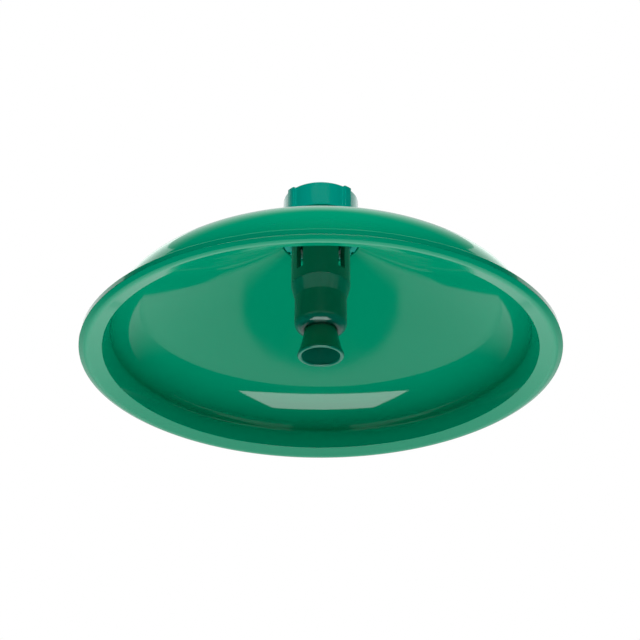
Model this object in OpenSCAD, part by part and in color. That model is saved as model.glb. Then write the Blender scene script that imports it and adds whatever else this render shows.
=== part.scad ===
// Overhead emergency drench shower head: a moulded bowl hung on a swivel pipe nut,
// with a slotted water tube and a flared spray nozzle in its middle.
// +Z is up. The origin is on the axis, at the lowest point of the bowl's lip.
// All round pieces are profiles of [radius, height] points turned about Z.

/* [Bowl] */
// Diameter over the lip
bowl_d = 270; // [230:1:330]
// Wall of the moulding
bowl_wall = 3; // [2:0.1:4]
// How far the lip stands out from the bowl's side
lip_w = 13.4; // [9:0.1:18]
// Height of the lip where it meets the side
lip_h = 7.2; // [6:0.1:10]
// Height of the lip's upright rim
lip_rim_h = 5.2; // [3.5:0.1:6]
// Height of the bevel under the rim
lip_bevel = 2.1; // [1:0.1:3]
// Distance from the rim in to the lip's lowest line
lip_foot = 3.8; // [2:0.1:7]
// Height of the lip's inner edge
lip_edge_h = 3.2; // [1:0.1:5]
// Height where the side starts to curve inwards
shoulder_z = 13.4; // [11:0.1:24]
// Width of the elliptical shoulder
shoulder_w = 62.7; // [45:0.1:80]
// Height of the elliptical shoulder
shoulder_h = 36.3; // [25:0.1:50]
// Slope of the roof above the shoulder, in degrees
roof_slope = 29.2; // [20:0.1:36]
// Depth of the recess for the lock nut
recess_depth = 6; // [5:0.1:9]

/* [Inlet] */
// Minor diameter of the 1 inch pipe thread in the nut
thread_d = 30.3; // [24:0.1:36]
// Length of the pipe thread
thread_len = 10.7; // [8:0.1:20]
// Outer diameter of the nut
nut_d = 44.4; // [42:0.1:60]
// Number of grip ribs on the nut
rib_count = 4; // [3:1:12]
// Width of a grip rib
rib_w = 4.9; // [3:0.1:8]
// How far a grip rib stands out
rib_h = 2; // [1:0.1:4]
// Turn of the nut about the axis, in degrees
nut_turn = -2.8; // [-45:0.1:45]
// Diameter of the hub's neck, on which the nut turns
neck_d = 35.6; // [33.6:0.1:37.6]
// Height of the hub's neck
neck_h = 4; // [3.5:0.1:8]
// Wire diameter of the snap ring
snap_wire = 1.4; // [1:0.1:1.8]
// Diameter of the hub's threaded spigot
spigot_d = 36.6; // [34:0.1:37.6]
// Thickness of the hub's flange
flange_t = 2; // [1.5:0.1:5]
// Diameter of the hub's flange
flange_d = 43.6; // [40:0.1:50]
// Thickness of the hub gasket
gasket_t = 1.5; // [1:0.1:3]
// Thickness of the pipe washer
washer_t = 2; // [1.5:0.1:4]
// Inner diameter of the pipe washer
washer_bore = 22; // [16:0.1:24.4]
// Thickness of the slip washer under the roof
slip_t = 1; // [0.5:0.1:1.2]
// Height of the lock nut
lock_h = 4.6; // [3:0.1:4.8]
// Number of spanner notches in the lock nut
notch_count = 12; // [6:1:18]

/* [Flow control] */
// Diameter of the flow control's seat
control_d = 25.8; // [22:0.1:27]
// Diameter of the orifice in the rubber disc
orifice_d = 11; // [6:0.1:13]
// Thickness of the rubber disc
disc_t = 3.5; // [2:0.1:4]

/* [Water tube] */
// Diameter of the tube
tube_d = 34.4; // [33:0.1:38]
// Length of the tube below the roof
tube_len = 29.6; // [24:0.1:35]
// Wall of the tube
tube_wall = 3; // [2:0.1:3.6]
// Diameter of the tube's neck inside the hub
tube_neck_d = 29; // [26:0.1:30]
// Number of water slots
slot_count = 4; // [2:1:6]
// Width of a water slot
slot_w = 5; // [3:0.1:7]
// Height of a water slot
slot_h = 21; // [12:0.1:21.5]

/* [Nozzle] */
// Diameter of the nozzle body
nozzle_d = 30.2; // [26:0.1:33]
// Length of the nozzle body
nozzle_len = 29.2; // [25:0.1:36]
// Height of the taper at its top
taper_h = 8.3; // [4:0.1:10]
// Radius of its rounded lower edge
nozzle_round = 5.5; // [3:0.1:5.6]
// Wall of the nozzle body
nozzle_wall = 2.7; // [2:0.1:3]
// Diameter of the flared tip at its throat
throat_d = 19.6; // [18.4:0.1:23]
// Diameter of the flared tip at its mouth
mouth_d = 26.6; // [24:0.1:34]
// Length of the flared tip below the nozzle body
tip_len = 16.2; // [12:0.1:18.5]
// Wall of the tip
tip_wall = 2.7; // [2:0.1:3]
// Number of blades on the spray vane
blade_count = 4; // [3:1:6]
// Tilt of the blades, in degrees
blade_tilt = 30; // [15:1:40]

/* [Fits] */
// Radial gap of the nut on the hub's neck
swivel_gap = 0.06; // [0.02:0.01:0.1]
// Gap between pieces that move past each other
free_gap = 0.3; // [0.2:0.05:0.5]
// Radial gap of a screwed or plugged joint
joint_gap = 0.1; // [0.05:0.01:0.2]

/* [Hidden] */
$fn = 96;

bowl_r = bowl_d / 2;
side_r = bowl_r - lip_w;
foot_r = bowl_r - lip_foot;
lip_edge_r = side_r + 0.7;
shoulder_r = side_r - shoulder_w;

// Radii of the inlet, from the thread outwards
nut_r = nut_d / 2;
thread_r = thread_d / 2;
neck_r = neck_d / 2;
skirt_r = neck_r + swivel_gap;
spigot_r = spigot_d / 2;
hub_hole_r = spigot_r + free_gap;
lock_r = spigot_r + 3.9;
recess_r = lock_r + 2 * free_gap;
boss_r = recess_r + bowl_wall;
recess_round = 1.2;

// Heights above the roof's seat: the seat is where the inner roof meets the recess
seat_z = roof_z(shoulder_w - bowl_wall, shoulder_h - bowl_wall, recess_r + recess_round);
recess_z = seat_z + recess_depth;
boss_z = recess_z + bowl_wall;
flange_z = boss_z + gasket_t;
neck_z = flange_z + flange_t;
nut_z = neck_z + free_gap;
hub_z = neck_z + neck_h;
stop_z = hub_z + washer_t + free_gap;
nut_top_z = stop_z + thread_len;
snap_z = neck_z + neck_h / 2;

// Heights of the spigot, the tube and the nozzle, downwards
spigot_z = recess_z - slip_t - lock_h + 0.2;
tube_neck_r = tube_neck_d / 2;
tube_neck_h = 6.9;
socket_r = tube_neck_r + joint_gap;
socket_z = spigot_z + tube_neck_h;
tube_top_z = spigot_z - free_gap;
tube_z = tube_top_z - tube_len;
tube_r = tube_d / 2;
tube_bore_r = tube_r - tube_wall;
tube_cap_t = 2.2;
plug_r = tube_bore_r - joint_gap;
plug_h = 5.5;
nozzle_r = nozzle_d / 2;
nozzle_z = tube_z - nozzle_len;
nozzle_bore_r = nozzle_r - nozzle_wall;
nozzle_floor_t = 5;
tip_top_z = nozzle_z - joint_gap;
tip_z = tip_top_z - tip_len;
throat_r = throat_d / 2;
mouth_r = mouth_d / 2;
stem_r = throat_r - 1.1;
stem_h = nozzle_floor_t;

// Flow control, in the pocket at the top of the hub
pocket_r = control_d / 2 + joint_gap;
pocket_z = max(hub_z - 6.5, socket_z + 1.5);
seat_floor_t = 2;
seat_ring_t = 0.9;

// O-rings: half the depth of a groove is the ring's radius
groove_depth = 1.7;
groove_h = 2.2;

// Points along an arc, from one angle to another
function arc(cr, cz, radius, from, to, steps) =
    [for (i = [0:steps]) let (a = from + (to - from) * i / steps)
        [cr + radius * cos(a), cz + radius * sin(a)]];

// Points along an ellipse, angles counted from its top
function ellipse(cr, cz, w, h, from, to, steps) =
    [for (i = [0:steps]) let (a = from + (to - from) * i / steps)
        [cr + w * sin(a), cz + h * cos(a)]];

// Angle at which an elliptical shoulder reaches the roof's slope
function roof_angle(w, h) = atan(w / h * tan(roof_slope));

// Height of the straight roof above a shoulder, at a radius
function roof_z(w, h, radius) =
    let (a = roof_angle(w, h))
    shoulder_z + h * cos(a) + (shoulder_r + w * sin(a) - radius) * tan(roof_slope);

// A flat ring with square edges
module ring(inner, outer, z, height) {
    rotate_extrude() translate([inner, z]) square([outer - inner, height]);
}

// An O-ring that fills the room between a groove's floor and the wall round it
module o_ring(floor_r, wall_r, z) {
    rotate_extrude() translate([(floor_r + wall_r) / 2, z]) circle((wall_r - floor_r) / 2 - 0.02);
}

module bowl() {
    inner_w = shoulder_w - bowl_wall;
    inner_h = shoulder_h - bowl_wall;
    flare_w = lip_edge_r - (shoulder_r + inner_w);
    flare_h = shoulder_z - lip_edge_h;
    flare = [for (i = [1:7]) let (t = i / 8)
        [shoulder_r + inner_w + flare_w * t * t, shoulder_z - flare_h * t]];
    lip = [[lip_edge_r, lip_edge_h], [foot_r, 0], [bowl_r, lip_bevel], [bowl_r, lip_rim_h],
           [side_r + 0.8, lip_h]];
    outer = ellipse(shoulder_r, shoulder_z, shoulder_w, shoulder_h,
                    90, roof_angle(shoulder_w, shoulder_h), 18);
    boss = [[boss_r, roof_z(shoulder_w, shoulder_h, boss_r)], [boss_r, boss_z - 1],
            [boss_r - 1, boss_z], [hub_hole_r, boss_z], [hub_hole_r, recess_z],
            [recess_r, recess_z]];
    mouth = arc(recess_r + recess_round, seat_z + recess_round, recess_round, 180, 270, 5);
    inner = ellipse(shoulder_r, shoulder_z, inner_w, inner_h, roof_angle(inner_w, inner_h), 90, 18);
    color([0, 0.54, 0.40]) rotate_extrude()
        polygon(concat(lip, outer, boss, mouth, inner, flare));
}

module union_nut() {
    chamfer = 0.8;
    lead_in = 1.3;
    outline = [[skirt_r, nut_z], [nut_r - chamfer, nut_z], [nut_r, nut_z + chamfer],
               [nut_r, nut_top_z - chamfer], [nut_r - chamfer, nut_top_z],
               [thread_r + lead_in, nut_top_z], [thread_r, nut_top_z - lead_in],
               [thread_r, stop_z], [skirt_r, stop_z]];
    groove_r = neck_r + snap_wire / 2 + free_gap;
    groove_half = snap_wire / 2 + free_gap;
    color([0, 0.56, 0.47]) rotate([0, 0, nut_turn]) difference() {
        union() {
            rotate_extrude() polygon(outline);
            intersection() {
                for (i = [0:rib_count - 1]) rotate([0, 0, 45 + 360 / rib_count * i])
                    translate([nut_r - 1, -rib_w / 2, nut_z + chamfer])
                        cube([rib_h + 1, rib_w, nut_top_z - nut_z - 2 * chamfer]);
                cylinder(r = nut_r + rib_h, h = nut_top_z);
            }
        }
        ring(skirt_r - 1, groove_r, snap_z - groove_half, 2 * groove_half);
    }
}

module snap_ring() {
    gap_w = 4;
    color([0.78, 0.79, 0.80]) difference() {
        rotate_extrude() translate([neck_r - 0.1, snap_z]) circle(snap_wire / 2);
        translate([0, -gap_w / 2, snap_z - snap_wire]) cube([nut_r, gap_w, 2 * snap_wire]);
    }
}

module pipe_washer() {
    color([0.10, 0.10, 0.11]) ring(washer_bore / 2, neck_r - 0.4, hub_z, washer_t);
}

module inlet_hub() {
    water_r = pocket_r - 2.4;
    outline = [[socket_r, spigot_z], [spigot_r - 0.6, spigot_z], [spigot_r, spigot_z + 0.6],
               [spigot_r, flange_z], [flange_d / 2, flange_z], [flange_d / 2, neck_z],
               [neck_r, neck_z], [neck_r, hub_z], [pocket_r, hub_z], [pocket_r, pocket_z],
               [water_r, pocket_z], [water_r, socket_z], [socket_r, socket_z]];
    color([0, 0.52, 0.40]) difference() {
        rotate_extrude() polygon(outline);
        rotate_extrude() translate([neck_r - 0.1, snap_z]) circle(snap_wire / 2 + 0.02);
    }
}

module hub_gasket() {
    color([0.10, 0.10, 0.11]) ring(hub_hole_r + 0.1, flange_d / 2 - 0.2, boss_z, gasket_t);
}

module slip_washer() {
    color([0.88, 0.88, 0.85]) ring(hub_hole_r + 0.1, lock_r + 0.2, recess_z - slip_t, slip_t);
}

module lock_nut() {
    notch_r = 1.3;
    color([0, 0.50, 0.42]) difference() {
        ring(spigot_r + 0.05, lock_r, recess_z - slip_t - lock_h, lock_h);
        for (i = [0:notch_count - 1]) rotate([0, 0, 360 / notch_count * i])
            translate([lock_r, 0, recess_z - slip_t - lock_h - 1]) cylinder(r = notch_r, h = lock_h + 2);
    }
}

module control_seat() {
    seat_r = control_d / 2;
    hole_r = orifice_d / 2 + 2;
    top_z = hub_z - 0.2;
    outline = [[hole_r, pocket_z], [seat_r, pocket_z], [seat_r, top_z],
               [seat_r - seat_ring_t, top_z], [seat_r - seat_ring_t, pocket_z + seat_floor_t],
               [hole_r + 0.6, pocket_z + seat_floor_t], [hole_r, pocket_z + seat_floor_t - 0.6]];
    color([0.92, 0.92, 0.90]) rotate_extrude() polygon(outline);
}

module control_disc() {
    disc_r = control_d / 2 - seat_ring_t - joint_gap;
    disc_z = pocket_z + seat_floor_t;
    color([0.10, 0.10, 0.11]) rotate_extrude()
        polygon([[orifice_d / 2, disc_z], [disc_r, disc_z], [disc_r, disc_z + disc_t],
                 [orifice_d / 2 + 1, disc_z + disc_t], [orifice_d / 2, disc_z + disc_t - 1]]);
}

module spreader_tube() {
    neck_top_z = socket_z - 0.4;
    neck_bore_r = tube_neck_r - 2.9;
    slot_z = tube_top_z - tube_cap_t - slot_h;
    outline = [[tube_bore_r, tube_z], [tube_r, tube_z], [tube_r, tube_top_z - 0.4],
               [tube_r - 0.4, tube_top_z], [tube_neck_r, tube_top_z], [tube_neck_r, neck_top_z],
               [neck_bore_r, neck_top_z], [neck_bore_r, tube_top_z - tube_cap_t],
               [tube_bore_r, tube_top_z - tube_cap_t]];
    color([0, 0.30, 0.22]) difference() {
        rotate_extrude() polygon(outline);
        ring(tube_neck_r - groove_depth, tube_neck_r + 1, tube_o_ring_z() - groove_h / 2, groove_h);
        for (i = [0:slot_count - 1]) rotate([0, 0, 45 + 360 / slot_count * i])
            translate([tube_bore_r - 2, -slot_w / 2, slot_z]) cube([tube_wall + 4, slot_w, slot_h]);
    }
}

function tube_o_ring_z() = tube_top_z + tube_neck_h / 2;

module tube_o_ring() {
    color([0.10, 0.10, 0.11]) o_ring(tube_neck_r - groove_depth, socket_r, tube_o_ring_z());
}

module nozzle_body() {
    plug_bore_r = plug_r - 2.9;
    inlet_z = tube_z - taper_h;
    floor_z = nozzle_z + nozzle_floor_t;
    hole_r = stem_r + joint_gap;
    outline = concat(
        arc(nozzle_r - nozzle_round, nozzle_z + nozzle_round, nozzle_round, -90, 0, 10),
        [[nozzle_r, tube_z - taper_h], [tube_r, tube_z], [plug_r, tube_z],
         [plug_r, tube_z + plug_h], [plug_bore_r, tube_z + plug_h], [plug_bore_r, tube_z],
         [nozzle_bore_r, inlet_z], [nozzle_bore_r, floor_z + 3], [hole_r, floor_z],
         [hole_r, nozzle_z]]);
    color([0, 0.31, 0.23]) difference() {
        rotate_extrude() polygon(outline);
        ring(plug_r - groove_depth, plug_r + 1, nozzle_o_ring_z() - groove_h / 2, groove_h);
    }
}

function nozzle_o_ring_z() = tube_z + plug_h / 2;

module nozzle_o_ring() {
    color([0.10, 0.10, 0.11]) o_ring(plug_r - groove_depth, tube_bore_r, nozzle_o_ring_z());
}

module spray_vane() {
    vane_h = 8;
    vane_r = nozzle_bore_r - joint_gap;
    blade_t = 1.4;
    vane_z = nozzle_z + nozzle_floor_t + 3.5;
    color([0.92, 0.92, 0.90]) intersection() {
        union() {
            translate([0, 0, vane_z]) cylinder(r = 2, h = vane_h);
            for (i = [0:blade_count - 1]) rotate([0, 0, 360 / blade_count * i])
                translate([0, 0, vane_z + vane_h / 2]) rotate([blade_tilt, 0, 0])
                    translate([0, -blade_t / 2, -vane_h]) cube([vane_r + 2, blade_t, 2 * vane_h]);
        }
        translate([0, 0, vane_z]) cylinder(r = vane_r, h = vane_h);
    }
}

module nozzle_tip() {
    bead = 1.3;
    bead_r = mouth_r - bead;
    flare_h = tip_len - bead;
    steps = 12;
    outer = [for (i = [0:steps]) let (t = i / steps)
        [throat_r + (mouth_r - throat_r) * pow(t, 1.6), tip_top_z - flare_h * t]];
    inner = [for (i = [steps:-1:0]) let (t = i / steps)
        [throat_r - tip_wall + (mouth_r - throat_r) * pow(t, 1.6), tip_top_z - flare_h * t]];
    mouth = arc(bead_r, tip_z + bead, bead, 0, -180, 10);
    stem = [[throat_r - tip_wall, tip_top_z + stem_h], [stem_r, tip_top_z + stem_h],
            [stem_r, tip_top_z]];
    color([0, 0.26, 0.19]) difference() {
        rotate_extrude() polygon(concat(outer, [for (i = [1:9]) mouth[i]], inner, stem));
        ring(stem_r - 1, stem_r + 1, tip_o_ring_z() - 0.7, 1.4);
    }
}

function tip_o_ring_z() = tip_top_z + stem_h / 2;

module tip_o_ring() {
    color([0.10, 0.10, 0.11]) o_ring(stem_r - 1, stem_r + joint_gap, tip_o_ring_z());
}

bowl();
union_nut();
snap_ring();
pipe_washer();
inlet_hub();
hub_gasket();
slip_washer();
lock_nut();
control_seat();
control_disc();
spreader_tube();
tube_o_ring();
nozzle_body();
nozzle_o_ring();
spray_vane();
nozzle_tip();
tip_o_ring();
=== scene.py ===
# %% [markdown]
# # An emergency drench shower head
# The head hangs mouth down at the end of a supply pipe. It is a wide moulded bowl with a water tube in
# its middle, and almost every piece is a body of revolution. So one turning function does most of the
# work here, and each piece is an outline of radius and height.

# %% Load the frame
import math

import bmesh
import bpy
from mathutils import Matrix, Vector


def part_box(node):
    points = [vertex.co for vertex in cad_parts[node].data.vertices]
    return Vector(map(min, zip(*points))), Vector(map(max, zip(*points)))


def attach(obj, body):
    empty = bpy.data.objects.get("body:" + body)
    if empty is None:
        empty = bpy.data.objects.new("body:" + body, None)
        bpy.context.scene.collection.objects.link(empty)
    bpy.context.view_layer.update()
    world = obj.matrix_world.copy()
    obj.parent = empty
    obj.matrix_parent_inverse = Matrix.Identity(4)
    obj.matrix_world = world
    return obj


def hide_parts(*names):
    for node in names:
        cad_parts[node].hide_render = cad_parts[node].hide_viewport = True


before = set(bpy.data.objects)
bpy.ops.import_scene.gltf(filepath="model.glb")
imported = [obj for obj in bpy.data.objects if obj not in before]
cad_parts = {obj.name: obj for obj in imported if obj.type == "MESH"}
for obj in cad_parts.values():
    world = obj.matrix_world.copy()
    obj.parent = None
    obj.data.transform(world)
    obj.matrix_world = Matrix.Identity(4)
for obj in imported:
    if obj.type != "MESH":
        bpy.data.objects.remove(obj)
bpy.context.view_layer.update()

# %% [markdown]
# ## Where things are
# Heights and radii are in millimetres, as on a drawing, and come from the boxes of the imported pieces.
# That way each detailed piece sits exactly where its plain solid does.

# %% Read sizes from the frame
MM = 0.001


def low(node):
    """Height of a node's lowest point, in mm."""
    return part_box(node)[0][2] / MM


def high(node):
    """Height of a node's highest point, in mm."""
    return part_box(node)[1][2] / MM


def reach(node):
    """Radius of a round node, in mm, measured along X."""
    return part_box(node)[1][0] / MM


bowl_r = reach("bowl")
bowl_top = high("bowl")
print(f"bowl: radius {bowl_r:.1f} mm, top at {bowl_top:.1f} mm; whole head {high('union_nut'):.1f} mm high")

# %% [markdown]
# ## The camera
# The head is looked at from below, at 27 degrees, from 0.81 m away, with a lens of 81 mm. From there the
# whole underside shows, and the near half of the dome hides all of the roof but the nut.

# %% Set up the camera
VIEW_BELOW = math.radians(27.02)
VIEW_PITCH = math.radians(28.82)
VIEW_DISTANCE = 6 * bowl_r * MM

camera_data = bpy.data.cameras.new("camera")
camera_data.lens = 81.0
camera_data.sensor_width = 36.0
camera_data.shift_x = -0.0012
camera = bpy.data.objects.new("camera", camera_data)
camera.location = (0, -VIEW_DISTANCE * math.cos(VIEW_BELOW), -VIEW_DISTANCE * math.sin(VIEW_BELOW))
camera.rotation_euler = (math.pi / 2 + VIEW_PITCH, 0, 0)
bpy.context.collection.objects.link(camera)
bpy.context.scene.camera = camera
bpy.context.scene.view_settings.view_transform = "Standard"
print("camera at", [round(c, 3) for c in camera.location])

# %% [markdown]
# ## Colour and node helpers
# Colours are written as the hex values that a screen shows, and one function turns them into the linear
# values that the renderer works with. One more adds a shader node with its settings and links.

# %% Helpers for colour and nodes


def linear(hex_colour):
    """An sRGB hex colour as linear RGBA."""
    channels = [int(hex_colour[i : i + 2], 16) / 255 for i in (1, 3, 5)]
    return [c / 12.92 if c <= 0.04045 else ((c + 0.055) / 1.055) ** 2.4 for c in channels] + [1.0]


def add(tree, kind, inputs=None, **settings):
    """Adds a node. inputs maps a socket's name or number to a value, or to another node's output."""
    made = tree.nodes.new(kind)
    for name, value in settings.items():
        setattr(made, name, value)
    for name, value in (inputs or {}).items():
        if isinstance(value, bpy.types.NodeSocket):
            tree.links.new(value, made.inputs[name])
        else:
            made.inputs[name].default_value = value
    return made


print("glossy green in linear light:", [round(c, 3) for c in linear("#009B74")])

# %% [markdown]
# ## The studio
# A glossy moulding shows its surroundings, so the studio matters as much as the plastic. A white sweep
# behind the head whitens the rims, where the eye looks along the skin. The studio in front and overhead
# is dark, which keeps the green deep. A long oval light table under the back of the head gives the
# inside and the lip their pale sheen, and the dark floor in front of it shows round the nozzle.

# %% Surroundings
SWEEP, OVERHEAD = 0.75, 0.05
world = bpy.data.worlds.new("studio")
world.use_nodes = True
sky = world.node_tree
toward = add(sky, "ShaderNodeSeparateXYZ", {0: add(sky, "ShaderNodeTexCoord").outputs["Generated"]})
narrow = add(sky, "ShaderNodeMapRange", {"Value": toward.outputs["Y"], "From Min": 0.45, "From Max": 0.95},
             interpolation_type="SMOOTHSTEP")
wide = add(sky, "ShaderNodeMapRange", {"Value": toward.outputs["Y"], "From Min": 0.0, "From Max": 0.6},
           interpolation_type="SMOOTHSTEP")
high_up = add(sky, "ShaderNodeMapRange", {"Value": toward.outputs["Z"], "From Min": -0.1, "From Max": 0.45})
sweep = add(sky, "ShaderNodeMix", {0: high_up.outputs["Result"], 2: narrow.outputs["Result"],
                                   3: wide.outputs["Result"]})
below_top = add(sky, "ShaderNodeMapRange", {"Value": toward.outputs["Z"], "From Min": 0.93, "From Max": 1.0,
                                            "To Min": SWEEP, "To Max": OVERHEAD},
                interpolation_type="SMOOTHSTEP")
shade = add(sky, "ShaderNodeMath", {0: sweep.outputs[0], 1: below_top.outputs["Result"]},
            operation="MULTIPLY")
seen = add(sky, "ShaderNodeLightPath")
brightness = add(sky, "ShaderNodeMix", {0: seen.outputs["Is Camera Ray"], 2: shade.outputs["Value"], 3: 1.0})
sky.links.new(brightness.outputs[0], sky.nodes["Background"].inputs["Strength"])
sky.nodes["Background"].inputs["Color"].default_value = linear("#FFFFFF")
bpy.context.scene.world = world
print(f"sweep: {SWEEP} of white behind, {OVERHEAD} overhead")

# %% The light table
TABLE_DROP, TABLE_FRONT, TABLE_SIDES = 1.0, 0.18, 128
TABLE_HALF_W, TABLE_HALF_L = 1.2, 3.1
GLOW_EDGE, GLOW_MIDDLE = 0.2, 0.6

table_data = bpy.data.meshes.new("light_table")
table_angles = [math.tau * i / TABLE_SIDES for i in range(TABLE_SIDES)]
table_points = [(math.cos(a), math.sin(a), 0) for a in table_angles]
table_data.from_pydata(table_points, [], [tuple(range(TABLE_SIDES))])
table = bpy.data.objects.new("light_table", table_data)
table.location = (0, TABLE_FRONT + TABLE_HALF_L, -TABLE_DROP)
table.scale = (TABLE_HALF_W, TABLE_HALF_L, 1)
table.visible_camera = False
bpy.context.collection.objects.link(table)

acrylic = bpy.data.materials.new("lit_opal_acrylic")
acrylic.use_nodes = True
panel = acrylic.node_tree.nodes["Principled BSDF"]
panel.inputs["Base Color"].default_value = linear("#D8D9D8")
panel.inputs["Roughness"].default_value = 0.8
panel.inputs["Emission Color"].default_value = linear("#FFFFFF")
flat = add(acrylic.node_tree, "ShaderNodeTexCoord").outputs["Object"]
outward = add(acrylic.node_tree, "ShaderNodeVectorMath", {0: flat}, operation="LENGTH")
glow = add(acrylic.node_tree, "ShaderNodeMapRange",
           {"Value": outward.outputs["Value"], "From Min": 0.5, "From Max": 1.0,
            "To Min": GLOW_MIDDLE, "To Max": GLOW_EDGE})
acrylic.node_tree.links.new(glow.outputs["Result"], panel.inputs["Emission Strength"])
table_data.materials.append(acrylic)
print(f"light table: {2 * TABLE_HALF_W:.1f} x {2 * TABLE_HALF_L:.1f} m, {TABLE_DROP:.1f} m below the lip")

# %% [markdown]
# ## The lights
# The broad box low in front shows only in reflections, as the bright patch on the far shoulder. A smaller
# one straight below lights the inside, and shows in no reflection. Two more behind, left and right, run a
# pale edge round the dome, and the one overhead only lights the outside.

# %% Place the lights


def softbox(name, centre, target, width, height, radiance, gloss=True, diffuse=True):
    """A rectangular light, aimed at a point. radiance 1 is as bright as a white page in the picture."""
    data = bpy.data.lights.new(name, "AREA")
    data.shape = "RECTANGLE"
    data.size = width
    data.size_y = height
    data.energy = radiance * math.pi * width * height
    box = bpy.data.objects.new(name, data)
    box.location = centre
    box.rotation_euler = (Vector(target) - Vector(centre)).to_track_quat("-Z", "Y").to_euler()
    box.visible_camera = False
    box.visible_glossy = gloss
    box.visible_diffuse = diffuse
    bpy.context.collection.objects.link(box)
    return box


def place(azimuth, elevation, distance):
    """A place round the head. Azimuth 0 is in front, and 90 to the right."""
    a, e = math.radians(azimuth), math.radians(elevation)
    level = distance * math.cos(e)
    return (level * math.sin(a), -level * math.cos(a), distance * math.sin(e))


softbox("low_front", (-0.06, -0.87, -1.9), (-0.06, -0.87, 0.0), 2.2, 1.4, 4.0, diffuse=False)
softbox("under_fill", (0.0, 0.1, -1.6), (0, 0, 0.05), 0.7, 0.7, 16.0, gloss=False)
softbox("back_left", place(-128, 32, 1.3), (0, 0, 0.05), 1.2, 0.9, 1.0)
softbox("back_right", place(128, 32, 1.3), (0, 0, 0.05), 1.2, 0.9, 1.0)
softbox("top_fill", place(0, 48, 1.5), (0, 0, 0.08), 1.2, 0.8, 8.0, gloss=False)

# %% [markdown]
# ## Moulded ABS
# The bowl and the fittings are injection moulded acrylonitrile butadiene styrene, coloured through. It
# gives the eye a deep green with white, sharp reflections, because the polished mould leaves a glossy
# skin. As the melt cools, the skin sinks a little over some centimetres, so straight reflections
# waver, and the pigment isn't quite even. Its index of refraction is about 1.54.

# %% Materials: the green mouldings


def finish(name):
    """A new material with its node tree and its Principled shader."""
    made = bpy.data.materials.new(name)
    made.use_nodes = True
    return made, made.node_tree, made.node_tree.nodes["Principled BSDF"]


def position(tree, scale_mm):
    """Object coordinates, scaled so that a pattern repeats about every scale_mm."""
    local = add(tree, "ShaderNodeTexCoord").outputs["Object"]
    return add(tree, "ShaderNodeVectorMath", {0: local, 1: [1 / (scale_mm * MM)] * 3},
               operation="MULTIPLY").outputs["Vector"]


def moulded_abs(name, deep, light, roughness, sink_mm=45, sink_depth=0.05):
    """Glossy moulded ABS. Its pigment drifts between two greens, and its skin has sink waves and a grain."""
    made, tree, shader = finish(name)
    drift = add(tree, "ShaderNodeTexNoise", {"Vector": position(tree, 60), "Scale": 1.0, "Detail": 3.0})
    tint = add(tree, "ShaderNodeMix", {0: drift.outputs["Fac"], 6: linear(deep), 7: linear(light)},
               data_type="RGBA")
    tree.links.new(tint.outputs[2], shader.inputs["Base Color"])
    haze = add(tree, "ShaderNodeTexNoise", {"Vector": position(tree, 18), "Scale": 1.0, "Detail": 4.0})
    rough = add(tree, "ShaderNodeMapRange", {"Value": haze.outputs["Fac"], "From Min": 0.3, "From Max": 0.7,
                                             "To Min": roughness * 0.8, "To Max": roughness * 1.3})
    tree.links.new(rough.outputs["Result"], shader.inputs["Roughness"])
    waves = add(tree, "ShaderNodeTexNoise", {"Vector": position(tree, sink_mm), "Scale": 1.0, "Detail": 1.0})
    sink = add(tree, "ShaderNodeBump", {"Height": waves.outputs["Fac"], "Distance": sink_depth * MM,
                                        "Strength": 1.0})
    grain = add(tree, "ShaderNodeTexNoise", {"Vector": position(tree, 0.8), "Scale": 1.0, "Detail": 2.0})
    skin = add(tree, "ShaderNodeBump", {"Height": grain.outputs["Fac"], "Distance": 0.004 * MM,
                                        "Strength": 1.0, "Normal": sink.outputs["Normal"]})
    tree.links.new(skin.outputs["Normal"], shader.inputs["Normal"])
    shader.inputs["IOR"].default_value = 1.54
    return made


bowl_abs = moulded_abs("moulded_abs_bowl", "#009C74", "#00A47B", 0.05)
# The fittings' green is partly their own, more cyan than the bowl's, and partly painted light: it is set
# lighter, which paints extra light onto the collar, the hub and the lock nut.
fitting_abs_painted_lighter = moulded_abs("moulded_abs_fitting_painted_lighter", "#00A290", "#00A896", 0.12, sink_mm=20, sink_depth=0.03)
tube_abs = moulded_abs("moulded_abs_tube", "#007D6A", "#00836F", 0.16, sink_mm=20, sink_depth=0.02)
tip_abs = moulded_abs("moulded_abs_tip", "#007A62", "#008068", 0.14, sink_mm=20, sink_depth=0.02)
print("green mouldings:", bowl_abs.name, fitting_abs_painted_lighter.name, tube_abs.name, tip_abs.name)

# %% [markdown]
# ## The hidden pieces' materials
# The seals are moulded EPDM rubber, dull and nearly black. The flow control and the vane are moulded
# acetal, milky white with a satin skin. The snap ring is drawn stainless wire, with fine lines along it.

# %% Materials: rubber, acetal and wire


def moulded_epdm(name):
    """Dull black rubber with the fine grain of a blasted mould."""
    made, tree, shader = finish(name)
    grain = add(tree, "ShaderNodeTexNoise", {"Vector": position(tree, 0.4), "Scale": 1.0, "Detail": 3.0})
    tint = add(tree, "ShaderNodeMix", {0: grain.outputs["Fac"], 6: linear("#1A1A1B"), 7: linear("#2A2A2C")},
               data_type="RGBA")
    tree.links.new(tint.outputs[2], shader.inputs["Base Color"])
    bump = add(tree, "ShaderNodeBump", {"Height": grain.outputs["Fac"], "Distance": 0.02 * MM})
    tree.links.new(bump.outputs["Normal"], shader.inputs["Normal"])
    shader.inputs["Roughness"].default_value = 0.62
    shader.inputs["IOR"].default_value = 1.5
    return made


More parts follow.
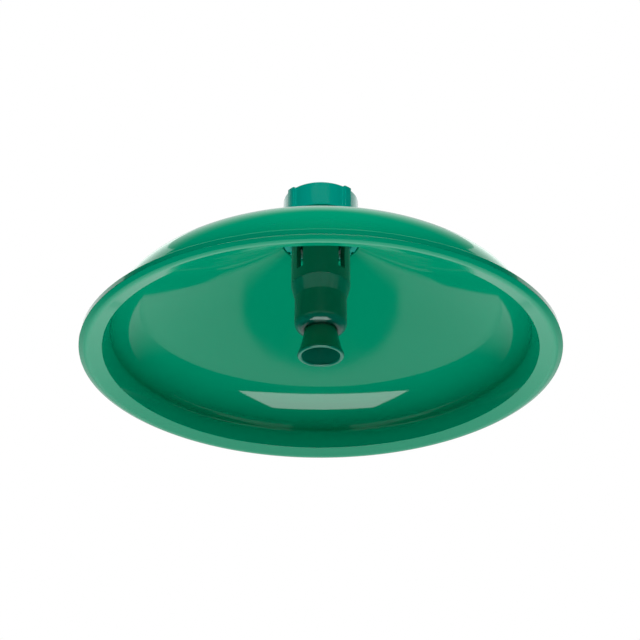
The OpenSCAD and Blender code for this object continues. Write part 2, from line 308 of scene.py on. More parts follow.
def moulded_acetal(name):
    """Milky white acetal: satin, with light carried a little way under the skin."""
    made, tree, shader = finish(name)
    cloud = add(tree, "ShaderNodeTexNoise", {"Vector": position(tree, 6), "Scale": 1.0, "Detail": 2.0})
    tint = add(tree, "ShaderNodeMix", {0: cloud.outputs["Fac"], 6: linear("#E2E2DC"), 7: linear("#EFEFEA")},
               data_type="RGBA")
    tree.links.new(tint.outputs[2], shader.inputs["Base Color"])
    skin = add(tree, "ShaderNodeTexNoise", {"Vector": position(tree, 0.5), "Scale": 1.0, "Detail": 2.0})
    bump = add(tree, "ShaderNodeBump", {"Height": skin.outputs["Fac"], "Distance": 0.006 * MM})
    tree.links.new(bump.outputs["Normal"], shader.inputs["Normal"])
    shader.inputs["Roughness"].default_value = 0.34
    shader.inputs["IOR"].default_value = 1.48
    shader.inputs["Subsurface Weight"].default_value = 0.15
    shader.inputs["Subsurface Scale"].default_value = 0.8 * MM
    return made


def drawn_stainless(name):
    """Bright drawn spring wire, with die lines that the eye reads as a soft streak."""
    made, tree, shader = finish(name)
    lines = add(tree, "ShaderNodeTexNoise", {"Vector": position(tree, 0.15), "Scale": 1.0, "Detail": 3.0})
    rough = add(tree, "ShaderNodeMapRange", {"Value": lines.outputs["Fac"], "To Min": 0.18, "To Max": 0.34})
    tree.links.new(rough.outputs["Result"], shader.inputs["Roughness"])
    tint = add(tree, "ShaderNodeMix", {0: lines.outputs["Fac"], 6: linear("#C4C6C8"), 7: linear("#D2D4D5")},
               data_type="RGBA")
    tree.links.new(tint.outputs[2], shader.inputs["Base Color"])
    shader.inputs["Metallic"].default_value = 1.0
    return made


epdm = moulded_epdm("moulded_epdm")
acetal = moulded_acetal("moulded_acetal")
stainless = drawn_stainless("drawn_stainless_wire")
print("hidden pieces:", epdm.name, acetal.name, stainless.name)

# %% [markdown]
# ## Turning an outline
# A moulding never has a sharp corner, because the melt can't fill one. So each outline lists its corners
# with a fillet radius, and rounded() puts an arc in each. turn() then sweeps the closed outline about Z.
# An optional function moves points in or out by angle, which makes ribs, notches and screw threads.

# %% Outlines and the lathe


def rounded(corners, steps=5):
    """Corners (radius, height) or (radius, height, fillet) in mm; each fillet becomes an arc."""
    points = []
    for i, corner in enumerate(corners):
        here = Vector(corner[:2])
        if len(corner) == 2:
            points.append(tuple(here))
            continue
        back = (Vector(corners[i - 1][:2]) - here).normalized()
        ahead = (Vector(corners[(i + 1) % len(corners)][:2]) - here).normalized()
        half = back.angle(ahead) / 2
        centre = here + (back + ahead).normalized() * corner[2] / math.sin(half)
        start = here + back * corner[2] / math.tan(half) - centre
        arc = start.angle_signed(here + ahead * corner[2] / math.tan(half) - centre)
        for k in range(steps + 1):
            a = -arc * k / steps
            points.append((centre.x + start.x * math.cos(a) - start.y * math.sin(a),
                           centre.y + start.x * math.sin(a) + start.y * math.cos(a)))
    return points


def turn(outline, segments=192, angles=None, shift=None):
    """Points and faces of a closed outline in mm, turned about Z.

    shift(radius, height, angle) gives what is added to a radius."""
    angles = angles or [math.tau * i / segments for i in range(segments)]
    n = len(outline)
    points, index = [], {}
    for s, a in enumerate(angles):
        for k, (r, z) in enumerate(outline):
            if r == 0 and s > 0:
                index[s, k] = index[0, k]
                continue
            out = r + (shift(r, z, a) if shift else 0)
            index[s, k] = len(points)
            points.append((out * math.cos(a) * MM, out * math.sin(a) * MM, z * MM))
    area = sum(outline[i - 1][0] * outline[i][1] - outline[i][0] * outline[i - 1][1] for i in range(n))
    faces = []
    for s in range(len(angles)):
        t = (s + 1) % len(angles)
        for k in range(n):
            m = (k + 1) % n
            corners = list(dict.fromkeys([index[s, k], index[t, k], index[t, m], index[s, m]]))
            if len(corners) > 2:
                faces.append(corners if area > 0 else corners[::-1])
    return points, faces


def piece(name, shape, material, body):
    """A smooth shaded mesh object that rides on a body. shape is a mesh, or points and faces."""
    data = shape if isinstance(shape, bpy.types.Mesh) else bpy.data.meshes.new(name)
    if not isinstance(shape, bpy.types.Mesh):
        data.from_pydata(shape[0], [], shape[1])
    data.name = name
    data.validate()
    data.materials.clear()
    data.materials.append(material)
    data.shade_smooth()
    made = bpy.data.objects.new(name, data)
    bpy.context.collection.objects.link(made)
    weighted = made.modifiers.new("face_weighted_normals", "WEIGHTED_NORMAL")
    weighted.keep_sharp = True
    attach(made, body)
    print(f"{name}: {len(data.vertices)} vertices, {len(data.polygons)} faces")
    return made


# %% [markdown]
# ## The bowl
# From the lip inwards: a flat lip with a sloping underside, a bevel and a low upright rim, then a short
# steep side, an elliptical shoulder, a straight roof, and a raised boss with a recess for the lock nut
# under it. The same few sizes give the outer and the inner skin, which lie a wall apart.

# %% Build the bowl
WALL = 3.0
LIP_W, LIP_H, LIP_RIM_H, LIP_BEVEL = 13.4, 7.2, 5.2, 2.1
LIP_FOOT, LIP_FOOT_ROUND, LIP_EDGE_H = 3.8, 5.0, 3.2
FLARE_BEND = 1.3
SHOULDER_Z, SHOULDER_W, SHOULDER_H = 13.4, 62.7, 36.3
ROOF_SLOPE = math.radians(29.2)
RECESS_R, RECESS_DEPTH, MOUTH_ROUND = 22.8, 6.0, 1.2
HUB_HOLE_R = 18.6

side_r = bowl_r - LIP_W
lip_edge_r = side_r + 0.7
shoulder_r = side_r - SHOULDER_W


def ellipse(cr, cz, w, h, start, end, steps):
    """Points along an ellipse, angles in radians from its top."""
    angles = [start + (end - start) * i / steps for i in range(steps + 1)]
    return [(cr + w * math.sin(a), cz + h * math.cos(a)) for a in angles]


def roof_angle(w, h):
    """Angle at which an elliptical shoulder reaches the roof's slope."""
    return math.atan(w / h * math.tan(ROOF_SLOPE))


def roof_z(w, h, radius):
    """Height of the straight roof above a shoulder, at a radius."""
    a = roof_angle(w, h)
    return SHOULDER_Z + h * math.cos(a) + (shoulder_r + w * math.sin(a) - radius) * math.tan(ROOF_SLOPE)


def bowl_outline():
    """The bowl's closed outline, from the lip's inner edge out, up, over the boss and back down inside."""
    inner_w, inner_h = SHOULDER_W - WALL, SHOULDER_H - WALL
    flare_w, flare_h = lip_edge_r - shoulder_r - inner_w, SHOULDER_Z - LIP_EDGE_H
    flare = [(shoulder_r + inner_w + flare_w * t ** FLARE_BEND, SHOULDER_Z - flare_h * t)
             for t in [i / 12 for i in range(1, 12)]]
    lip = rounded([flare[-1], (lip_edge_r, LIP_EDGE_H, 0.35), (bowl_r - LIP_FOOT, 0, LIP_FOOT_ROUND),
                   (bowl_r, LIP_BEVEL, 0.35), (bowl_r, LIP_RIM_H, 0.7), (side_r + 0.5, LIP_H, 1.2),
                   (side_r, SHOULDER_Z)], 6)[1:-1]
    outer = ellipse(shoulder_r, SHOULDER_Z, SHOULDER_W, SHOULDER_H, math.pi / 2,
                    roof_angle(SHOULDER_W, SHOULDER_H), 36)
    boss_r = RECESS_R + WALL
    seat_z = roof_z(inner_w, inner_h, RECESS_R + MOUTH_ROUND)
    hub = rounded([outer[-1], (boss_r, roof_z(SHOULDER_W, SHOULDER_H, boss_r), 2.0), (boss_r, bowl_top, 1.0),
                   (HUB_HOLE_R, bowl_top, 0.3), (HUB_HOLE_R, seat_z + RECESS_DEPTH, 0.3),
                   (RECESS_R, seat_z + RECESS_DEPTH, 0.6), (RECESS_R, seat_z + MOUTH_ROUND)])[1:-1]
    mouth = [(RECESS_R + MOUTH_ROUND * (1 - math.cos(a)), seat_z + MOUTH_ROUND * (1 - math.sin(a)))
             for a in [(math.pi / 2 - ROOF_SLOPE) * i / 6 for i in range(7)]]
    inner = ellipse(shoulder_r, SHOULDER_Z, inner_w, inner_h, roof_angle(inner_w, inner_h), math.pi / 2, 36)
    return lip + outer + hub + mouth + inner + flare


bowl = piece("moulded_bowl", turn(bowl_outline(), segments=288), bowl_abs, "head")
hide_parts("bowl")

# %% [markdown]
# ## Screw threads, ribs and notches
# A thread, a rib and a notch are all a wall whose radius changes with the height or the angle. So each is
# a function that says how far the wall moves at a point, and turn() asks it at every point. That keeps
# each piece one closed skin, where cutters would leave loose faces. The pipe thread is the rounded 55
# degree form with 11 threads to the inch, and the spigot's is a finer 1.5 mm thread.

# %% Helpers for threads and repeated shapes
PIPE_PITCH, PIPE_DEPTH = 25.4 / 11, 1.479
SPIGOT_PITCH, SPIGOT_DEPTH = 1.5, 0.75


def thread_cut(z, angle, pitch):
    """How much of a right-hand thread's depth is cut away at a height and an angle, from 0 to 1."""
    along = (z / pitch - angle / math.tau) % 1.0
    flank = (1 - abs(2 * along - 1)) * 1.3 - 0.15
    clipped = min(max(flank, 0.0), 1.0)
    return clipped * clipped * (3 - 2 * clipped) * 0.4 + clipped * 0.6


def rows(start, end, spacing):
    """Heights from start to end, about a spacing apart."""
    count = max(1, round(abs(end - start) / spacing))
    return [start + (end - start) * i / count for i in range(count + 1)]


def repeated(shape, radius, count, first):
    """The angles at which a repeated shape needs points, and a function that gives its height there.

    The shape lists (distance along the wall, distance out) in mm, from the middle of a copy outwards."""
    flank = [(math.asin(along / (radius + out)), out) for along, out in shape]
    share = math.tau / count
    gap = share - 2 * flank[-1][0]
    plain = [flank[-1][0] + gap * i / 30 for i in range(1, 30)]
    one = [-a for a, out in reversed(flank[1:])] + [a for a, out in flank] + plain

    def out_at(angle):
        away = abs((angle - first + share / 2) % share - share / 2)
        for (a, out_a), (b, out_b) in zip(flank, flank[1:]):
            if away <= b:
                return out_a + (out_b - out_a) * (away - a) / (b - a)
        return 0.0

    return [first + share * copy + a for copy in range(count) for a in one], out_at


def band(inner, outer, bottom, top, fillet):
    """The outline of a flat ring with rounded edges."""
    corners = [(inner, bottom), (outer, bottom), (outer, top), (inner, top)]
    return rounded([corner + (fillet,) for corner in corners], 4)


def circle(centre_r, centre_z, radius, steps=28):
    """The outline of a round wire or O-ring."""
    angles = [math.tau * i / steps for i in range(steps)]
    return [(centre_r + radius * math.cos(a), centre_z + radius * math.sin(a)) for a in angles]


def stands_for(made, node):
    """Hides a plain node behind its detailed piece."""
    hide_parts(node)


print(f"pipe thread: pitch {PIPE_PITCH:.3f} mm, depth {PIPE_DEPTH:.2f} mm")

# %% [markdown]
# ## The union nut
# This collar joins the head to the pipe, and turns freely on the hub's neck. Four moulded ribs give a
# strap wrench its hold. Inside are the pipe thread, with a lead-in at the top, and a groove for the snap
# ring near the bottom.

# %% Build the union nut
RIB_COUNT, RIB_W, RIB_H, RIB_ROUND = 4, 4.9, 2.0, 0.5
NUT_TURN = math.radians(-2.8)
NUT_CHAMFER, THREAD_LEAD_IN = 0.8, 1.3
SKIRT_GAP, RING_GROOVE_H = 0.06, 2.0
THREAD_R = 15.15

nut_r = reach("union_nut")
nut_z, nut_top_z = low("union_nut"), high("union_nut")
neck_r = reach("pipe_washer") + 0.4
skirt_r = neck_r + SKIRT_GAP
stop_z = high("pipe_washer") + 0.3
snap_z = (low("snap_ring") + high("snap_ring")) / 2
groove_r = neck_r + 1.0
rib_low, rib_high = nut_z + NUT_CHAMFER, nut_top_z - NUT_CHAMFER

rib_side = rounded([(0, RIB_H), (RIB_W / 2, RIB_H, RIB_ROUND), (RIB_W / 2 + 0.12, 0, 0.7), (RIB_W, 0)], 5)
nut_angles, rib_out = repeated(rib_side, nut_r, RIB_COUNT, math.radians(45) + NUT_TURN)


def rib_rise(z):
    """Share of the rib's height at a height on the nut. Its ends are square, with a rounded edge."""
    inward = min(z - rib_low, rib_high - z)
    if inward <= 0:
        return 0.0
    t = min(1.0, max(0.0, (inward - 0.05) / RIB_ROUND))
    return (RIB_H - RIB_ROUND + RIB_ROUND * math.sqrt(1 - (1 - t) ** 2)) / RIB_H


def nut_shift(r, z, angle):
    """Ribs on the outer wall, and the pipe thread inside."""
    if r > nut_r - 0.01:
        return rib_out(angle) * rib_rise(z)
    if z >= stop_z and r < THREAD_R + THREAD_LEAD_IN + 0.01:
        return max(0.0, THREAD_R + PIPE_DEPTH * thread_cut(z, angle, PIPE_PITCH) - r)
    return 0.0


rib_ends = [0.0, 0.05, 0.1, 0.18, 0.3, 0.42, 0.55]
wall_z = [rib_low + d for d in rib_ends] + [rib_high - d for d in reversed(rib_ends)]
lead_in = [(THREAD_R + THREAD_LEAD_IN * (1 - i / 8), nut_top_z - THREAD_LEAD_IN * i / 8) for i in range(1, 8)]
bore = [(THREAD_R, z) for z in rows(nut_top_z - THREAD_LEAD_IN, stop_z, PIPE_PITCH / 14)]
groove = [(skirt_r, snap_z + RING_GROOVE_H / 2, 0.1), (groove_r, snap_z + RING_GROOVE_H / 2, 0.3),
          (groove_r, snap_z - RING_GROOVE_H / 2, 0.3), (skirt_r, snap_z - RING_GROOVE_H / 2, 0.1)]
nut_outline = (rounded([(nut_r, rib_low), (nut_r - NUT_CHAMFER, nut_z, 0.3), (skirt_r, nut_z, 0.25),
                        (skirt_r, snap_z - RING_GROOVE_H / 2)])[1:-1][::-1]
               + [(nut_r, z) for z in wall_z]
               + rounded([(nut_r, rib_high), (nut_r - NUT_CHAMFER, nut_top_z, 0.3),
                          (THREAD_R + THREAD_LEAD_IN, nut_top_z, 0.1), lead_in[0]])[1:-1]
               + lead_in + bore
               + rounded([bore[-1], (skirt_r, stop_z, 0.3)] + groove + [(skirt_r, nut_z)], 3)[1:-1])
nut_shape = turn(nut_outline, angles=nut_angles, shift=nut_shift)
union_nut = piece("ribbed_union_nut", nut_shape, fitting_abs_painted_lighter, "nut")
stands_for(union_nut, "union_nut")
print(f"union nut: wall radius {nut_r:.1f} mm, {RIB_COUNT} ribs of {RIB_W} x {RIB_H} mm")

# %% [markdown]
# ## The inlet hub and its lock nut
# The hub hangs under the pipe. Its flange lies on the bowl, and the lock nut on its threaded spigot holds
# the bowl from below. Both threads use the same function, so the nut's thread really meets the hub's.

# %% Build the inlet hub
SPIGOT_R, SOCKET_R, WATER_R = 18.3, 14.6, 10.6
FLANGE_T, WIRE_R, THREAD_LENGTH = 2.0, 0.7, 6.6

spigot_z, hub_z = low("inlet_hub"), high("inlet_hub")
flange_z = high("hub_gasket")
flange_r = reach("inlet_hub")
pocket_r, pocket_z = reach("control_seat") + 0.1, low("control_seat")
socket_z = high("spreader_tube") + 0.4
thread_end_z = spigot_z + THREAD_LENGTH


def spigot_shift(r, z, angle):
    """The hub's outer thread, which fades out over its last turn."""
    if abs(r - SPIGOT_R) > 0.01 or z > thread_end_z:
        return 0.0
    fade = min(1.0, (thread_end_z - z) / SPIGOT_PITCH)
    return -SPIGOT_DEPTH * fade * thread_cut(z, angle, SPIGOT_PITCH)


spigot_wall = [(SPIGOT_R, z) for z in rows(spigot_z + 0.6, thread_end_z, SPIGOT_PITCH / 12)]
ring_seat = [(neck_r - 0.1 - (WIRE_R + 0.02) * math.sin(a), snap_z - (WIRE_R + 0.02) * math.cos(a))
             for a in [math.radians(8 + 164 * i / 10) for i in range(11)]]
hub_outline = (rounded([(SOCKET_R, socket_z), (SOCKET_R, spigot_z, 0.4), (SPIGOT_R - 0.6, spigot_z, 0.15),
                        spigot_wall[0]])[1:-1]
               + spigot_wall
               + rounded([spigot_wall[-1], (SPIGOT_R, flange_z, 0.15), (flange_r, flange_z, 0.3),
                          (flange_r, flange_z + FLANGE_T, 0.4), (neck_r, flange_z + FLANGE_T, 0.15),
                          ring_seat[0]], 4)[1:-1]
               + ring_seat
               + rounded([ring_seat[-1], (neck_r, hub_z, 0.4), (pocket_r, hub_z, 0.3),
                          (pocket_r, pocket_z, 0.3), (WATER_R, pocket_z, 0.4), (WATER_R, socket_z, 0.4),
                          (SOCKET_R, socket_z, 0.3), (SOCKET_R, spigot_z)], 4)[1:-1])
hub_shape = turn(hub_outline, segments=216, shift=spigot_shift)
inlet_hub = piece("inlet_hub_with_spigot", hub_shape, fitting_abs_painted_lighter, "head")
stands_for(inlet_hub, "inlet_hub")

# %% Build the lock nut
NOTCH_COUNT, NOTCH_R, LOCK_PAST_NECK = 12, 1.3, 4.4
lock_z, lock_top_z, lock_r = low("lock_nut"), high("lock_nut"), neck_r + LOCK_PAST_NECK
half_round = [(NOTCH_R * math.sin(a), -NOTCH_R * math.cos(a))
              for a in [math.radians(75 * i / 8) for i in range(9)]]
notch_side = half_round + rounded([half_round[-1], (NOTCH_R, 0, 0.2), (NOTCH_R + 1, 0)], 4)[1:]
lock_angles, notch_out = repeated(notch_side, lock_r, NOTCH_COUNT, 0.0)


def lock_shift(r, z, angle):
    """Spanner notches outside, and inside a thread that follows the spigot's."""
    if r > lock_r - 0.5:
        return notch_out(angle)
    if r < SPIGOT_R + 0.1:
        return -SPIGOT_DEPTH * thread_cut(z, angle, SPIGOT_PITCH)
    return 0.0


lock_bore = [(SPIGOT_R + 0.08, z) for z in rows(lock_top_z - 0.3, lock_z + 0.3, SPIGOT_PITCH / 12)]
lock_outline = (rounded([lock_bore[-1], (SPIGOT_R + 0.5, lock_z, 0.1), (lock_r, lock_z, 0.4),
                         (lock_r, lock_top_z, 0.3), (SPIGOT_R + 0.5, lock_top_z, 0.1), lock_bore[0]], 4)[1:-1]
                + lock_bore)
lock_shape = turn(lock_outline, angles=lock_angles, shift=lock_shift)
lock_nut = piece("notched_lock_nut", lock_shape, fitting_abs_painted_lighter, "head")
stands_for(lock_nut, "lock_nut")
print(f"lock nut: radius {lock_r:.1f} mm, {NOTCH_COUNT} notches")

# %% [markdown]
# ## The snap ring
# An open ring of spring wire sits half in the hub's neck and half in the nut, so the nut can turn but
# can't come off. It is a round section swept along an arc, with a dome on each cut end.

# %% Build the snap ring
RING_GAP, AROUND = 4.0, 20


def wire(centre_r, height, radius, gap, steps=150):
    """Points and faces of an open wire ring with rounded ends. Its gap is at +X."""
    half_gap = math.asin((gap / 2 + radius) / centre_r)
    dome = [math.radians(a) for a in (12, 30, 50, 70)]
    cap = radius / centre_r
    stations = [(half_gap - cap * math.cos(a), math.sin(a)) for a in dome]
    stations += [(half_gap + (math.tau - 2 * half_gap) * i / steps, 1.0) for i in range(steps + 1)]
    stations += [(math.tau - half_gap + cap * math.cos(a), math.sin(a)) for a in reversed(dome)]
    points = []
    for a, size in stations:
        for k in range(AROUND):
            b = math.tau * k / AROUND
            r, z = centre_r + radius * size * math.cos(b), height + radius * size * math.sin(b)
            points.append((r * math.cos(a) * MM, r * math.sin(a) * MM, z * MM))
    faces = []
    for start in range(0, (len(stations) - 1) * AROUND, AROUND):
        for k in range(AROUND):
            m = (k + 1) % AROUND
            faces.append((start + AROUND + k, start + AROUND + m, start + m, start + k))
    faces += [tuple(range(AROUND)), tuple(range(len(points) - AROUND, len(points)))[::-1]]
    return points, faces


snap_ring = piece("open_snap_ring", wire(neck_r - 0.1, snap_z, WIRE_R, RING_GAP), stainless, "head")
stands_for(snap_ring, "snap_ring")

# %% [markdown]
# ## Cutting and joining
# The tube's slots and the vane's tilted blades can't be turned, so they are made with Blender's exact
# boolean. It runs once here and its result is kept as a plain mesh. A small bevel then breaks the new
# edges, as the mould does.

# %% Helpers for cutting and joining


def solid(name, shape):
    """A bare mesh object made from points and faces, to cut or join with."""
    data = bpy.data.meshes.new(name)
    data.from_pydata(shape[0], [], shape[1])
    shell = bmesh.new()
    shell.from_mesh(data)
    bmesh.ops.recalc_face_normals(shell, faces=shell.faces)
    shell.to_mesh(data)
    shell.free()
    made = bpy.data.objects.new(name, data)
    bpy.context.collection.objects.link(made)
    return made


def combined(base, others, operation, edge_mm):
    """The mesh left when solids are cut from a base or joined to it, with its new sharp edges rounded."""
    for other in others:
        step = base.modifiers.new(operation.lower(), "BOOLEAN")
        step.operation, step.solver, step.object = operation, "EXACT", other
    edge = base.modifiers.new("rounded_edges", "BEVEL")
    edge.width, edge.segments = edge_mm * MM, 3
    edge.limit_method, edge.angle_limit = "ANGLE", math.radians(38)
    result = bpy.data.meshes.new_from_object(base.evaluated_get(bpy.context.evaluated_depsgraph_get()))
    for scrap in [base] + others:
        bpy.data.objects.remove(scrap)
    return result


def prism(section, near, far):
    """Points and faces of a solid with a flat section (across, height) in mm, from one X to another in mm."""
    n = len(section)
    points = [(x * MM, across * MM, z * MM) for x in (near, far) for across, z in section]
    faces = [tuple(range(n))[::-1], tuple(range(n, 2 * n))]
    faces += [(i, (i + 1) % n, n + (i + 1) % n, n + i) for i in range(n)]
    return points, faces


def spun(shape, angle):
    """The same shape, turned about Z."""
    c, s = math.cos(angle), math.sin(angle)
    return [(x * c - y * s, x * s + y * c, z) for x, y, z in shape[0]], shape[1]


# %% [markdown]
# ## The water tube
# Water leaves this tube in two ways. Four tall slots throw it out under the roof, and the rest goes on
# down to the nozzle. The neck at its top plugs into the hub with an O-ring.

# %% Build the water tube
TUBE_BORE_R, TUBE_NECK_R, NECK_BORE_R, CAP_T = 14.2, 14.5, 11.6, 2.2
SLOT_COUNT, SLOT_W, SLOT_H = 4, 5.0, 21.0
GROOVE_DEPTH, GROOVE_H = 1.7, 2.2

tube_r, tube_z, tube_neck_z = reach("spreader_tube"), low("spreader_tube"), high("spreader_tube")
tube_top_z = spigot_z - 0.3
slot_top_z = tube_top_z - CAP_T


def ring_groove(wall_r, middle_z, depth, height):
    """Corners of an O-ring groove in an outer wall, from its lower edge up."""
    return [(wall_r, middle_z - height / 2, 0.1), (wall_r - depth, middle_z - height / 2, 0.25),
            (wall_r - depth, middle_z + height / 2, 0.25), (wall_r, middle_z + height / 2, 0.1)]


def middle(node):
    """Height of a node's middle, in mm."""
    return (low(node) + high(node)) / 2


tube_outline = rounded(
    [(TUBE_BORE_R, tube_z, 0.2), (tube_r, tube_z, 0.25), (tube_r, tube_top_z, 0.6),
     (TUBE_NECK_R, tube_top_z, 0.2)]
    + ring_groove(TUBE_NECK_R, middle("tube_o_ring"), GROOVE_DEPTH, GROOVE_H)
    + [(TUBE_NECK_R, tube_neck_z, 0.5), (NECK_BORE_R, tube_neck_z, 0.3), (NECK_BORE_R, slot_top_z, 0.3),
       (TUBE_BORE_R, slot_top_z, 0.3)], 4)
slot = prism(rounded([(-SLOT_W / 2, slot_top_z - SLOT_H, 1.0), (SLOT_W / 2, slot_top_z - SLOT_H, 1.0),
                      (SLOT_W / 2, slot_top_z - 0.3, 0.5), (-SLOT_W / 2, slot_top_z - 0.3, 0.5)], 5),
             TUBE_BORE_R - 3, tube_r + 2)
slot_angles = [math.radians(45) + math.tau * i / SLOT_COUNT for i in range(SLOT_COUNT)]
slot_cutters = [solid("slot_cutter", spun(slot, angle)) for angle in slot_angles]
tube_mesh = combined(solid("tube_blank", turn(tube_outline, segments=240)), slot_cutters, "DIFFERENCE", 0.3)
spreader_tube = piece("slotted_water_tube", tube_mesh, tube_abs, "head")
stands_for(spreader_tube, "spreader_tube")
print(f"water tube: radius {tube_r:.1f} mm, {SLOT_COUNT} slots of {SLOT_W} x {SLOT_H} mm")

# %% [markdown]
# ## The nozzle
# The nozzle's body narrows the tube and rounds in at its foot, where the flared tip plugs in. The tip is
# thin at the throat and ends in a rounded bead, which stands out bright because it faces the light.

# %% Build the nozzle body and the flared tip
NOZZLE_R, NOZZLE_BORE_R, NOZZLE_ROUND, TAPER_H, FLOOR_T = 15.1, 12.4, 5.5, 8.3, 5.0
PLUG_R, PLUG_BORE_R = 14.1, 11.2
THROAT_R, TIP_WALL, BEAD_R = 9.8, 2.7, 1.3

nozzle_z, plug_z = low("nozzle_body"), high("nozzle_body")
stem_r = THROAT_R - 1.1
foot = [(NOZZLE_R - NOZZLE_ROUND * (1 - math.sin(a)), nozzle_z + NOZZLE_ROUND * (1 - math.cos(a)))
        for a in [math.radians(90 * i / 16) for i in range(17)]]
nozzle_outline = foot + rounded(
    [foot[-1], (NOZZLE_R, tube_z - TAPER_H, 2.5), (tube_r, tube_z, 0.25), (PLUG_R, tube_z, 0.15)]
    + ring_groove(PLUG_R, middle("nozzle_o_ring"), GROOVE_DEPTH, GROOVE_H)
    + [(PLUG_R, plug_z, 0.4), (PLUG_BORE_R, plug_z, 0.3), (PLUG_BORE_R, tube_z, 1.0),
       (NOZZLE_BORE_R, tube_z - TAPER_H, 1.0), (NOZZLE_BORE_R, nozzle_z + FLOOR_T + 3, 0.8),
       (stem_r + 0.1, nozzle_z + FLOOR_T, 0.3), (stem_r + 0.1, nozzle_z, 0.3), foot[0]], 5)[1:-1]
nozzle_body = piece("rounded_nozzle_body", turn(nozzle_outline, segments=240), tube_abs, "head")
stands_for(nozzle_body, "nozzle_body")

tip_z, tip_top_z, mouth_r = low("nozzle_tip"), nozzle_z - 0.1, reach("nozzle_tip")
flare_h = tip_top_z - tip_z - BEAD_R


def flared_wall(start_r, end_r, steps=22):
    """The flare's wall, which opens faster towards the mouth."""
    return [(start_r + (end_r - start_r) * (i / steps) ** 1.6, tip_top_z - flare_h * i / steps)
            for i in range(steps + 1)]


bead = [(mouth_r - BEAD_R + BEAD_R * math.cos(a), tip_z + BEAD_R - BEAD_R * math.sin(a))
        for a in [math.radians(180 * i / 16) for i in range(1, 16)]]
tip_inside = flared_wall(THROAT_R - TIP_WALL, mouth_r - 2 * BEAD_R)[::-1]
tip_outline = flared_wall(THROAT_R, mouth_r) + bead + tip_inside + rounded(
    [tip_inside[-1], (THROAT_R - TIP_WALL, high("nozzle_tip"), 0.4), (stem_r, high("nozzle_tip"), 0.4)]
    + ring_groove(stem_r, middle("tip_o_ring"), 1.0, 1.4)[::-1]
    + [(stem_r, tip_top_z, 0.2), (THROAT_R, tip_top_z)], 4)[1:-1]
nozzle_tip = piece("flared_nozzle_tip", turn(tip_outline, segments=216), tip_abs, "head")
stands_for(nozzle_tip, "nozzle_tip")
print(f"flared tip: throat {2 * THROAT_R:.1f} mm, mouth {2 * mouth_r:.1f} mm across")

# %% [markdown]
# ## The spray vane
# Four tilted blades on a small hub set the water spinning, so that it leaves the tip as a full cone. Each
# blade is a grid of stations from the hub outwards, and its outer end follows the nozzle's bore. The
# blades are turned a little off the X and Y axes, where the exact boolean joins them cleanly.

# %% Build the spray vane
BLADE_COUNT, BLADE_T, BLADE_TILT, VANE_HUB_R = 4, 1.4, math.radians(30), 2.0
BLADE_TURN, BLADE_START, STATIONS = 0.1, 0.6, 10
vane_z, vane_top_z, vane_r = low("spray_vane"), high("spray_vane"), reach("spray_vane")


def blade():
    """Points and faces of one blade that points along +X."""
    level = middle("spray_vane")
    half_t, half_h, edge = BLADE_T / 2 / math.cos(BLADE_TILT), (vane_top_z - vane_z) / 2, 0.7
    heights = [half_h - edge * (1 - math.sin(a)) for a in [math.radians(90 * i / 5) for i in range(6)]]
    heights = [-h for h in reversed(heights)] + rows(-half_h + edge, half_h - edge, 1.2)[1:-1] + heights
    side = []
    for h in heights:
        inward = min(1.0, max(0.0, (half_h - abs(h)) / edge))
        side.append((h, half_t * math.sqrt(1 - (1 - inward) ** 2)))
    section = [(-math.tan(BLADE_TILT) * h + t, h) for h, t in side[::-1]]
    section += [(-math.tan(BLADE_TILT) * h - t, h) for h, t in side[1:-1]]
    n = len(section)
    points = []
    for step in [i / STATIONS for i in range(STATIONS + 1)]:
        for across, h in section:
            outer = math.sqrt(vane_r ** 2 - across ** 2)
            along = BLADE_START + (outer - BLADE_START) * step
            points.append((along * MM, across * MM, (level + h) * MM))
    faces = [tuple(range(n))[::-1], tuple(range(STATIONS * n, (STATIONS + 1) * n))]
    faces += [(s * n + i, s * n + (i + 1) % n, (s + 1) * n + (i + 1) % n, (s + 1) * n + i)
              for s in range(STATIONS) for i in range(n)]
    return points, faces


core_outline = rounded([(0, vane_z), (VANE_HUB_R, vane_z, 0.6), (VANE_HUB_R, vane_top_z, 0.6),
                        (0, vane_top_z)], 5)
blade_angles = [BLADE_TURN - math.tau * i / BLADE_COUNT for i in range(BLADE_COUNT)]
blades = [solid("vane_blade", spun(blade(), angle)) for angle in blade_angles]
vane_mesh = combined(solid("vane_hub", turn(core_outline, segments=48)), blades, "UNION", 0.12)
spray_vane = piece("bladed_spray_vane", vane_mesh, acetal, "head")
stands_for(spray_vane, "spray_vane")
print(f"spray vane: {BLADE_COUNT} blades of {BLADE_T} mm, {2 * vane_r:.1f} mm across")

# %% [markdown]
# ## The flow control
# A rubber disc lies in a small acetal cup. Higher pressure squeezes its hole narrower, so the head gives
# nearly the same flow on any supply.

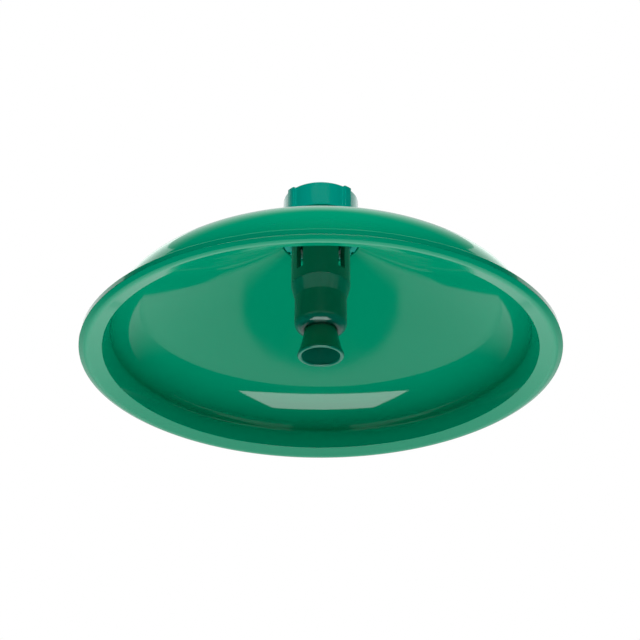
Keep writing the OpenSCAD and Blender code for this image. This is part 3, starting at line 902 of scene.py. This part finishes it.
# %% Build the flow control
SEAT_RING_T, SEAT_FLOOR_T, SEAT_HOLE_R, ORIFICE_R = 0.9, 2.0, 7.5, 5.5

seat_r, seat_top_z = reach("control_seat"), high("control_seat")
seat_floor_z = pocket_z + SEAT_FLOOR_T
seat_outline = rounded([(SEAT_HOLE_R, pocket_z, 0.3), (seat_r, pocket_z, 0.3), (seat_r, seat_top_z, 0.25),
                        (seat_r - SEAT_RING_T, seat_top_z, 0.25), (seat_r - SEAT_RING_T, seat_floor_z, 0.2),
                        (SEAT_HOLE_R, seat_floor_z, 0.6)], 5)
control_seat = piece("flow_control_cup", turn(seat_outline), acetal, "head")
stands_for(control_seat, "control_seat")

disc_r, disc_z, disc_top_z = reach("control_disc"), low("control_disc"), high("control_disc")
disc_outline = rounded([(ORIFICE_R, disc_z, 0.25), (disc_r, disc_z, 0.4), (disc_r, disc_top_z, 0.4),
                        (ORIFICE_R + 1, disc_top_z, 0.3), (ORIFICE_R, disc_top_z - 1, 0.3)], 5)
control_disc = piece("flow_control_disc", turn(disc_outline), epdm, "head")
stands_for(control_disc, "control_disc")

# %% [markdown]
# ## Washers and seals
# Three flat rings and three O-rings close the joints. Pressed rubber has softer edges than the hard slip
# washer, so each ring gets its own fillet.

# %% Build the washers and seals
FLAT_RINGS = [("rubber_pipe_washer", "pipe_washer", 11.0, 0.35, epdm, "epdm"),
              ("rubber_hub_gasket", "hub_gasket", 18.7, 0.3, epdm, "epdm"),
              ("acetal_slip_washer", "slip_washer", 18.7, 0.15, acetal, "acetal")]
for name, node, inner_r, fillet, material, slot_name in FLAT_RINGS:
    outline = band(inner_r, reach(node), low(node), high(node), fillet)
    stands_for(piece(name, turn(outline), material, "head"), node)

for name, node in [("tube_seal_ring", "tube_o_ring"), ("nozzle_seal_ring", "nozzle_o_ring"),
                   ("tip_seal_ring", "tip_o_ring")]:
    section_r = (high(node) - low(node)) / 2
    outline = circle(reach(node) - section_r, middle(node), section_r)
    stands_for(piece(name, turn(outline), epdm, "head"), node)
